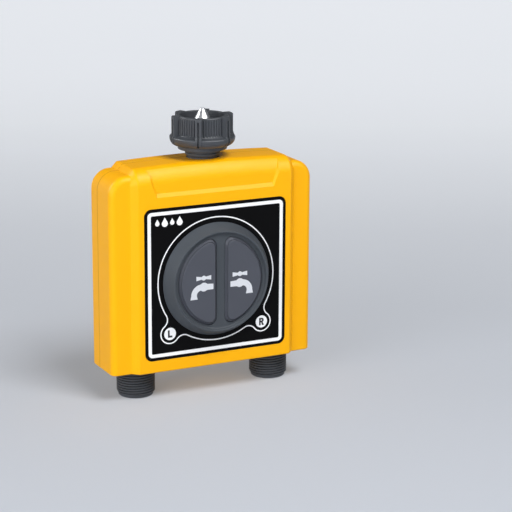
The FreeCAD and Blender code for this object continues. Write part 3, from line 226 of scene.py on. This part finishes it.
def make_prints(white, pale, dark):
    """Everything printed on the label and the keys."""
    def on_label(name, loops):
        flat_print(name, loops, LABEL_FRONT_Y, PRINT_THICK, "case", white)

    on_label("label_border", [rounded_square(BORDER_OUT, BORDER_OUT_CORNER),
                              rounded_square(BORDER_IN, BORDER_IN_CORNER)])
    on_label("label_dial_line", [lobed_circle(LINE_WIDTH / 2), lobed_circle(-LINE_WIDTH / 2)])
    for side, name, letter in ((-1, "left", letter_l), (1, "right", letter_r)):
        centre = (side * BADGE[0], BADGE[1])
        on_label("badge_disc_" + name, [circle(centre, BADGE_R)])
        flat_print("badge_letter_" + name, letter(centre, LETTER_HEIGHT),
                   LABEL_FRONT_Y - PRINT_THICK, PRINT_THICK / 2, "case", dark)
        flat_print("tap_symbol_" + name, tap_outlines(side),
                   KEY_FRONT_Y, PRINT_THICK, name + "_key", pale)
    on_label("label_drops", [drop_outline((DROP_FIRST[0] + DROP_STEP * k, DROP_FIRST[1]), height)
                             for k, height in enumerate(DROP_HEIGHTS)])


# ---- materials -------------------------------------------------------------------------------------
EDGE_SAMPLES = 6           # rays that look for the neighbour of a softened edge


def srgb(r, g, b):
    """A colour from 0-255 display values, as linear light."""
    def channel(value):
        value /= 255
        return value / 12.92 if value <= 0.04045 else ((value + 0.055) / 1.055) ** 2.4
    return (channel(r), channel(g), channel(b), 1.0)


def shade(colour, factor):
    """A colour made lighter or darker."""
    return tuple(min(1.0, channel * factor) for channel in colour[:3]) + (1.0,)


class Look:
    """A Principled material under construction."""

    def __init__(self, name):
        self.material = bpy.data.materials.new(name)
        self.material.use_nodes = True
        self.nodes = self.material.node_tree.nodes
        self.links = self.material.node_tree.links
        self.shader = self.nodes["Principled BSDF"]
        self.coords = self.nodes.new("ShaderNodeTexCoord")

    def set(self, **values):
        """Constant values on the shader's own sockets."""
        for name, value in values.items():
            self.shader.inputs[name.replace("_", " ")].default_value = value

    def feed(self, socket_name, source):
        """Link a socket of the shader."""
        self.links.new(source, self.shader.inputs[socket_name])

    def place(self):
        """Where a point is in the object, in metres: the sockets X, Y and Z."""
        node = self.nodes.new("ShaderNodeSeparateXYZ")
        self.links.new(self.coords.outputs["Object"], node.inputs["Vector"])
        return node.outputs

    def noise(self, scale, detail=3.0, roughness=0.55, stretch=None):
        """Noise in object space, in features per metre."""
        node = self.nodes.new("ShaderNodeTexNoise")
        node.inputs["Scale"].default_value = scale
        node.inputs["Detail"].default_value = detail
        node.inputs["Roughness"].default_value = roughness
        if stretch:
            mapping = self.nodes.new("ShaderNodeMapping")
            mapping.inputs["Scale"].default_value = stretch
            self.links.new(self.coords.outputs["Object"], mapping.inputs["Vector"])
            self.links.new(mapping.outputs["Vector"], node.inputs["Vector"])
        else:
            self.links.new(self.coords.outputs["Object"], node.inputs["Vector"])
        return node.outputs["Fac"]

    def ramp(self, source, *stops):
        """Map a 0-1 value onto (value, colour) stops: the lowest, the highest, then any between."""
        node = self.nodes.new("ShaderNodeValToRGB")
        elements = node.color_ramp.elements
        for k, (value, colour) in enumerate(stops):
            stop = elements[k] if k < 2 else elements.new(value)
            stop.position = value
            stop.color = colour
        self.links.new(source, node.inputs["Fac"])
        return node.outputs["Color"]

    def span(self, source, low, high, start=0.0, end=1.0):
        """Map a value that runs from start to end onto low to high, held at both ends."""
        node = self.nodes.new("ShaderNodeMapRange")
        node.inputs["From Min"].default_value = start
        node.inputs["From Max"].default_value = end
        node.inputs["To Min"].default_value = low
        node.inputs["To Max"].default_value = high
        self.links.new(source, node.inputs["Value"])
        return node.outputs["Result"]

    def maths(self, operation, a, b=None):
        """A Math node on sockets or numbers."""
        node = self.nodes.new("ShaderNodeMath")
        node.operation = operation
        for socket, value in zip(node.inputs, (a, b)):
            if value is None:
                continue
            if isinstance(value, (int, float)):
                socket.default_value = value
            else:
                self.links.new(value, socket)
        return node.outputs["Value"]

    def scaled(self, colour, factor):
        """A colour, as a socket or as three numbers, times the value of a socket."""
        node = self.nodes.new("ShaderNodeVectorMath")
        node.operation = "SCALE"
        if isinstance(colour, tuple):
            node.inputs[0].default_value = colour
        else:
            self.links.new(colour, node.inputs[0])
        self.links.new(factor, node.inputs["Scale"])
        return node.outputs["Vector"]

    def bump(self, source, depth, strength):
        """Add a bump layer of a depth in metres."""
        node = self.nodes.new("ShaderNodeBump")
        node.inputs["Strength"].default_value = strength
        node.inputs["Distance"].default_value = depth
        self.links.new(source, node.inputs["Height"])
        normal = self.shader.inputs["Normal"]
        if normal.links:
            self.links.new(normal.links[0].from_socket, node.inputs["Normal"])
        self.links.new(node.outputs["Normal"], normal)

    def soften_edges(self, radius):
        """Shade the sharp edges as if they had a small rounding, under the bump layers."""
        node = self.nodes.new("ShaderNodeBevel")
        node.samples = EDGE_SAMPLES
        node.inputs["Radius"].default_value = radius
        first = self.shader.inputs["Normal"].links[0].from_node
        while first.inputs["Normal"].links:
            first = first.inputs["Normal"].links[0].from_node
        self.links.new(node.outputs["Normal"], first.inputs["Normal"])

    def darken_seam(self, seam_y, half_width, tone):
        """A thin line at one distance from the front; tone is the part of the colour left in it."""
        away = self.maths("ABSOLUTE", self.maths("SUBTRACT", self.place()["Y"], seam_y))
        fade = self.span(away, low=tone, high=1.0, start=0.0, end=half_width)
        colour = self.shader.inputs["Base Color"]
        self.links.new(self.scaled(colour.links[0].from_socket, fade), colour)


def plastic(name, colour, roughness, spread=0.06, grain=2500.0, grain_depth=0.01 * MM, waviness=0.0,
            specular=0.5, edge=0.0):
    """Moulded plastic: faint tone drift, uneven gloss, a fine tool grain and, if edge, soft edges."""
    look = Look(name)
    tone = look.noise(scale=28.0, detail=4.0)
    look.feed("Base Color", look.ramp(tone, (0.3, shade(colour, 1 - spread)),
                                      (0.7, shade(colour, 1 + spread))))
    gloss = look.noise(scale=160.0, detail=5.0)
    look.feed("Roughness", look.span(gloss, roughness * 0.82, roughness * 1.22))
    look.bump(look.noise(grain, detail=2.0), grain_depth, strength=0.6)
    if waviness:
        look.bump(look.noise(scale=45.0, detail=1.0), waviness, strength=0.5)
    look.set(Specular_IOR_Level=specular)
    if edge:
        look.soften_edges(edge)
    return look


def metal(name, colour, roughness, stretch, grain=900.0, grain_depth=0.008 * MM):
    """Metal with a drawn or turned grain, finer along the axes that stretch makes larger."""
    look = Look(name)
    look.set(Metallic=1.0)
    tone = look.noise(scale=60.0, detail=4.0)
    look.feed("Base Color", look.ramp(tone, (0.3, shade(colour, 0.82)), (0.75, shade(colour, 1.1))))
    lines = look.noise(grain, detail=3.0, roughness=0.6, stretch=stretch)
    look.feed("Roughness", look.span(lines, roughness * 0.7, roughness * 1.5))
    look.bump(lines, grain_depth, strength=0.7)
    return look


def rubber(name, colour, roughness=0.75):
    """Matt rubber with a bloom."""
    look = Look(name)
    bloom = look.noise(scale=220.0, detail=5.0)
    look.feed("Base Color", look.ramp(bloom, (0.35, shade(colour, 0.75)), (0.8, shade(colour, 1.5))))
    look.feed("Roughness", look.span(bloom, roughness * 0.85, min(1.0, roughness * 1.2)))
    look.bump(look.noise(scale=3200.0, detail=2.0), 0.015 * MM, strength=0.7)
    return look


def circuit_board_look():
    """Solder mask over faint copper tracks."""
    look = Look("circuit_board")
    track_half_width = 0.07    # as a part of one cell of the pattern
    cells = look.nodes.new("ShaderNodeTexVoronoi")
    cells.distance = "CHEBYCHEV"
    cells.feature = "DISTANCE_TO_EDGE"
    cells.inputs["Scale"].default_value = 260.0
    look.links.new(look.coords.outputs["Object"], cells.inputs["Vector"])
    mask = look.maths("GREATER_THAN", cells.outputs["Distance"], track_half_width)
    look.feed("Base Color", look.ramp(mask, (0.0, srgb(62, 128, 82)), (1.0, srgb(16, 74, 44))))
    look.feed("Roughness", look.span(look.noise(scale=300.0), low=0.22, high=0.4))
    look.bump(mask, 0.02 * MM, strength=0.4)
    return look


def cell_look():
    """Battery sleeve: dark barrel, light band near one end, bare metal ends."""
    look = Look("cell_sleeve")
    band = (0.68, 0.955)       # heights as parts of the cell's length
    bare_below = 0.02
    bare_above = 0.975
    low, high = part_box("battery_1")
    along = look.maths("DIVIDE", look.maths("SUBTRACT", look.place()["Z"], low.z), high.z - low.z)
    in_band = look.maths("MULTIPLY", look.maths("GREATER_THAN", along, band[0]),
                         look.maths("LESS_THAN", along, band[1]))
    ends = look.maths("MAXIMUM", look.maths("GREATER_THAN", along, bare_above),
                      look.maths("LESS_THAN", along, bare_below))
    sleeve = look.ramp(in_band, (0.0, srgb(38, 40, 46)), (1.0, srgb(196, 142, 74)))
    mix = look.nodes.new("ShaderNodeMix")
    mix.data_type = "RGBA"
    look.links.new(ends, mix.inputs["Factor"])
    look.links.new(sleeve, mix.inputs["A"])
    mix.inputs["B"].default_value = srgb(205, 205, 208)
    look.feed("Base Color", mix.outputs["Result"])
    look.feed("Metallic", look.maths("MULTIPLY", ends, 0.95))
    look.feed("Roughness", look.span(look.noise(scale=400.0), low=0.22, high=0.36))
    look.bump(look.noise(scale=90.0, detail=2.0), 0.03 * MM, strength=0.4)
    return look


def winding_look():
    """Enamelled wire laid turn beside turn along the coil's axis."""
    look = Look("copper_winding")
    wave = look.nodes.new("ShaderNodeTexWave")
    wave.bands_direction = "X"
    wave.inputs["Scale"].default_value = 500.0
    look.links.new(look.coords.outputs["Object"], wave.inputs["Vector"])
    turns = wave.outputs["Fac"]
    look.feed("Base Color", look.ramp(turns, (0.0, srgb(120, 52, 26)), (1.0, srgb(206, 116, 70))))
    look.set(Metallic=0.85)
    look.feed("Roughness", look.span(look.noise(scale=500.0), low=0.25, high=0.42))
    look.bump(turns, 0.1 * MM, strength=0.8)
    return look


def filter_look():
    """Bright stainless steel with a very fine weave in its bump."""
    look = metal("filter_steel", srgb(206, 208, 212), roughness=0.3, stretch=(1.0, 1.0, 0.05),
                 grain=1400.0, grain_depth=0.0004 * MM)
    waves_round = 90.0         # round the whole cone
    waves_up = 9000.0          # radians for each metre of height
    place = look.place()
    angle = look.maths("ARCTAN2", look.maths("SUBTRACT", place["Y"], WATER_Y), place["X"])
    warp = look.maths("SINE", look.maths("MULTIPLY", angle, waves_round))
    weft = look.maths("SINE", look.maths("MULTIPLY", place["Z"], waves_up))
    weave = look.maths("MULTIPLY", warp, weft)
    look.bump(look.span(weave, low=0.0, high=1.0), 0.004 * MM, strength=0.5)
    return look


def print_look(name, colour):
    """Screen-printed ink: even, with a faint grain."""
    look = Look(name)
    roughness = 0.5
    tone = look.noise(scale=900.0, detail=4.0)
    look.feed("Base Color", look.ramp(tone, (0.3, shade(colour, 0.93)), (0.6, colour)))
    look.feed("Roughness", look.span(look.noise(scale=600.0), roughness * 0.85, roughness * 1.2))
    look.bump(look.noise(scale=4000.0, detail=2.0), 0.004 * MM, strength=0.5)
    return look


def dress(look, *nodes):
    """Give the part's nodes a material."""
    for node in nodes:
        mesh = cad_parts[node].data
        mesh.materials.clear()
        mesh.materials.append(look.material)


def both(name):
    """A node's left and right copies."""
    return ["left_" + name, "right_" + name]


def make_materials():
    """Assign every node of the part a material; returns the three inks."""
    case = plastic("case_yellow", srgb(255, 181, 0), roughness=0.41, spread=0.02, grain=1800.0,
                   grain_depth=0.012 * MM, waviness=0.03 * MM, specular=0.18, edge=0.4 * MM)
    case.darken_seam(SEAM_Y, half_width=0.6 * MM, tone=0.55)
    dress(case, "front_housing", "rear_housing", "battery_door")
    label = plastic("label_black", srgb(7, 7, 8), roughness=0.3, spread=0.1, grain=2200.0,
                    grain_depth=0.006 * MM, specular=0.08)
    dress(label, "front_label")
    bezel = plastic("bezel_grey", srgb(73, 78, 84), roughness=0.42, spread=0.05, grain=2600.0,
                    specular=0.14)
    dress(bezel, "control_bezel")
    keys = plastic("key_grey", srgb(74, 77, 86), roughness=0.46, spread=0.05, grain=2600.0,
                   specular=0.3, edge=0.12 * MM)
    dress(keys, *both("button"))
    fitting = plastic("fitting_grey", srgb(66, 69, 74), roughness=0.36, spread=0.1, grain=2000.0,
                      grain_depth=0.015 * MM, specular=0.32, edge=0.15 * MM)
    dress(fitting, "inlet_nut", "inlet_manifold", *both("valve_body"))
    inner = plastic("valve_plastic", srgb(44, 46, 50), roughness=0.5, spread=0.12, grain=1500.0,
                    grain_depth=0.02 * MM)
    dress(inner, "inlet_tailpiece", "battery_tray", "microcontroller", *both("valve_bonnet"),
          *both("coil_bobbin"), *both("diaphragm_disc"), *both("switch"))
    soft = rubber("soft_rubber", srgb(34, 34, 36))
    dress(soft, "housing_gasket", "battery_door_seal", "pipe_o_rings", "inlet_washer",
          *both("diaphragm"))
    sheet = rubber("silicone", srgb(150, 152, 158), roughness=0.55)
    dress(sheet, "button_membrane")
    cap = plastic("switch_cap", srgb(222, 220, 210), roughness=0.45)
    dress(cap, "board_connectors", *both("switch_plunger"))
    dress(circuit_board_look(), "control_board")
    tin = metal("shield_tin", srgb(198, 198, 194), roughness=0.32, stretch=(1.0, 6.0, 1.0))
    dress(tin, "radio_module", "drive_capacitors")
    screw = metal("screw_steel", srgb(178, 180, 184), roughness=0.3, stretch=(1.0, 1.0, 1.0),
                  grain=1500.0)
    dress(screw, "housing_screws", "board_screws", "bonnet_screws", "lower_door_screw",
          "upper_door_screw")
    spring = metal("spring_steel", srgb(205, 206, 208), roughness=0.24, stretch=(1.0, 1.0, 8.0),
                   grain=1500.0)
    dress(spring, "tailpiece_clip", "battery_springs", "battery_contacts",
          *both("plunger_spring"))
    dress(filter_look(), "inlet_filter")
    iron = metal("soft_iron", srgb(150, 150, 152), roughness=0.4, stretch=(8.0, 1.0, 1.0))
    dress(iron, *both("plunger"), *both("coil_frame"), *both("latch_magnet"))
    dress(winding_look(), *both("coil_winding"))
    dress(cell_look(), *["battery_%d" % k for k in (1, 2, 3, 4)])
    dress(rubber("lead_red", srgb(150, 26, 20), roughness=0.5), "battery_leads", "coil_leads")
    return (print_look("white_ink", srgb(250, 251, 253)).material,
            print_look("key_ink", srgb(216, 219, 225)).material,
            print_look("dark_ink", srgb(12, 12, 14)).material)


# ---- stage, light and camera -----------------------------------------------------------------------
CAMERA_TURN = math.radians(-26.466)
PAPER = srgb(170, 175, 184)
GLOW_FROM = -0.5
GLOW_TO = 2.5
GLOW_TINT = (0.98, 1.0, 1.03)
# Painted light: the glow the paper gives of itself, by the distance behind the timer: the lowest,
# the highest, then those between.
GLOW = ((-0.45, 0.16), (2.4, 0.68), (0.0, 0.17), (0.2, 0.21), (0.45, 0.31), (0.62, 0.40),
        (0.82, 0.49), (1.0, 0.56), (1.22, 0.60))


def paper_look():
    """Pale paper with painted light, a glow that grows lighter with the distance; painted shade
    darkens it high on the wall.
    """
    look = Look("backdrop_paper")
    place = look.place()
    away = look.span(place["Y"], low=0.0, high=1.0, start=GLOW_FROM, end=GLOW_TO)
    stops = []
    for distance, level in GLOW:
        stops.append(((distance - GLOW_FROM) / (GLOW_TO - GLOW_FROM),
                      tuple(level * tint for tint in GLOW_TINT) + (1.0,)))
    # painted light: the paper's glow, by the distance behind the timer
    glow = look.ramp(away, *stops)
    # painted shade: the paper and its glow darken high on the wall
    painted_wall_shade = look.span(place["Z"], low=1.0, high=0.08, start=0.14, end=0.5)
    fibre = look.span(look.noise(scale=3.0), low=0.99, high=1.01)
    look.feed("Base Color", look.scaled(PAPER[:3], look.maths("MULTIPLY", painted_wall_shade, fibre)))
    look.feed("Emission Color", look.scaled(glow, painted_wall_shade))
    look.set(Roughness=0.9, Specular_IOR_Level=0.1, Emission_Strength=1.0)
    return look


def backdrop():
    """A pale floor that curves up into a wall far behind the timer; all lengths in metres."""
    front = -9.0               # how far the floor comes forward
    middle = -0.4
    depth = 2.2                # where the wall stands
    height = 1.3
    bend = 1.2                 # radius of the curve between the floor and the wall
    bend_steps = 24
    half_width = 4.0
    profile = [(front, 0.0), (middle, 0.0), (depth - bend, 0.0)]
    for k in range(1, bend_steps + 1):
        angle = math.pi / 2 * k / bend_steps
        profile.append((depth - bend + bend * math.sin(angle), bend - bend * math.cos(angle)))
    profile.append((depth, height))
    verts = [(x, y, z) for y, z in profile for x in (-half_width, half_width)]
    faces = [(2 * k, 2 * k + 1, 2 * k + 3, 2 * k + 2) for k in range(len(profile) - 1)]
    mesh = bpy.data.meshes.new("backdrop")
    mesh.from_pydata(verts, [], faces)
    for polygon in mesh.polygons:
        polygon.use_smooth = True
    mesh.materials.append(paper_look().material)
    wall = bpy.data.objects.new("backdrop", mesh)
    wall.rotation_euler[2] = CAMERA_TURN
    bpy.context.collection.objects.link(wall)


def softbox(name, turn, lift, distance, size, strength, only_shine=False):
    """A rectangular area light, turned and lifted about the timer's middle, in degrees.

    Strength is what a white surface that faces the light gives back, as a part of white. A light
    that is only_shine doesn't light surfaces and is seen in reflections alone.
    """
    turn = math.radians(turn)
    lift = math.radians(lift)
    middle = Vector((0.0, 0.0, 0.09))
    place = middle + distance * Vector((math.sin(turn) * math.cos(lift),
                                        -math.cos(turn) * math.cos(lift), math.sin(lift)))
    lamp = bpy.data.lights.new(name, "AREA")
    lamp.shape = "RECTANGLE"
    lamp.size = size[0]
    lamp.size_y = size[1]
    lamp.energy = strength * (math.pi * distance) ** 2
    holder = bpy.data.objects.new(name, lamp)
    holder.visible_diffuse = not only_shine
    holder.location = place
    holder.rotation_euler = (middle - place).to_track_quat("-Z", "Y").to_euler()
    bpy.context.collection.objects.link(holder)


def make_light():
    """A high key in front, a wide light at the left, a weak front light and a dim sky.

    The brow and rim lights are seen in reflections alone, as highlights along the case's edges.
    """
    softbox("key_light", turn=14, lift=56, distance=1.6, size=(0.7, 0.7), strength=0.80)
    softbox("left_light", turn=-64, lift=16, distance=1.6, size=(1.2, 0.8), strength=0.64)
    softbox("front_light", turn=-30, lift=12, distance=1.8, size=(0.5, 0.5), strength=0.10)
    softbox("brow_light", turn=36, lift=38, distance=1.3, size=(0.8, 1.1), strength=0.85,
            only_shine=True)
    softbox("rim_light", turn=-125, lift=28, distance=1.3, size=(0.3, 0.8), strength=0.8,
            only_shine=True)
    world = bpy.data.worlds.new("studio")
    world.use_nodes = True
    sky = world.node_tree.nodes["Background"]
    sky.inputs["Color"].default_value = (0.88, 0.91, 0.96, 1.0)
    sky.inputs["Strength"].default_value = 0.13
    bpy.context.scene.world = world


def make_camera():
    """The camera, set by its turn, height angle, roll and distance, then moved across its view."""
    turn = CAMERA_TURN
    lift = math.radians(14.581)
    roll = math.radians(-0.337)
    distance = 1.2479
    side_shift = 27.003 * MM
    up_shift = 15.230 * MM
    behind_face = 0.1 * MM
    aim = Vector((DIAL_X, LABEL_FRONT_Y + behind_face, DIAL_Z))
    back = Vector((math.sin(turn) * math.cos(lift), -math.cos(turn) * math.cos(lift),
                   math.sin(lift)))
    right = (-back).cross(Vector((0, 0, 1))).normalized()
    down = (-back).cross(right)
    right_rolled = right * math.cos(roll) + down * math.sin(roll)
    down_rolled = down * math.cos(roll) - right * math.sin(roll)
    place = aim + right_rolled * side_shift - down_rolled * up_shift + back * distance
    camera = bpy.data.cameras.new("camera")
    camera.lens = 129.27
    camera.sensor_width = 36.0
    camera.clip_start = 0.01
    holder = bpy.data.objects.new("camera", camera)
    axes = Matrix((right_rolled, -down_rolled, back)).transposed()
    holder.matrix_world = Matrix.Translation(place) @ axes.to_4x4()
    bpy.context.collection.objects.link(holder)
    bpy.context.scene.camera = holder


# ---- make ------------------------------------------------------------------------------------------
make_camera()
white_ink, key_ink, dark_ink = make_materials()
make_prints(white_ink, key_ink, dark_ink)
backdrop()
make_light()
bpy.context.scene.view_settings.view_transform = "Standard"
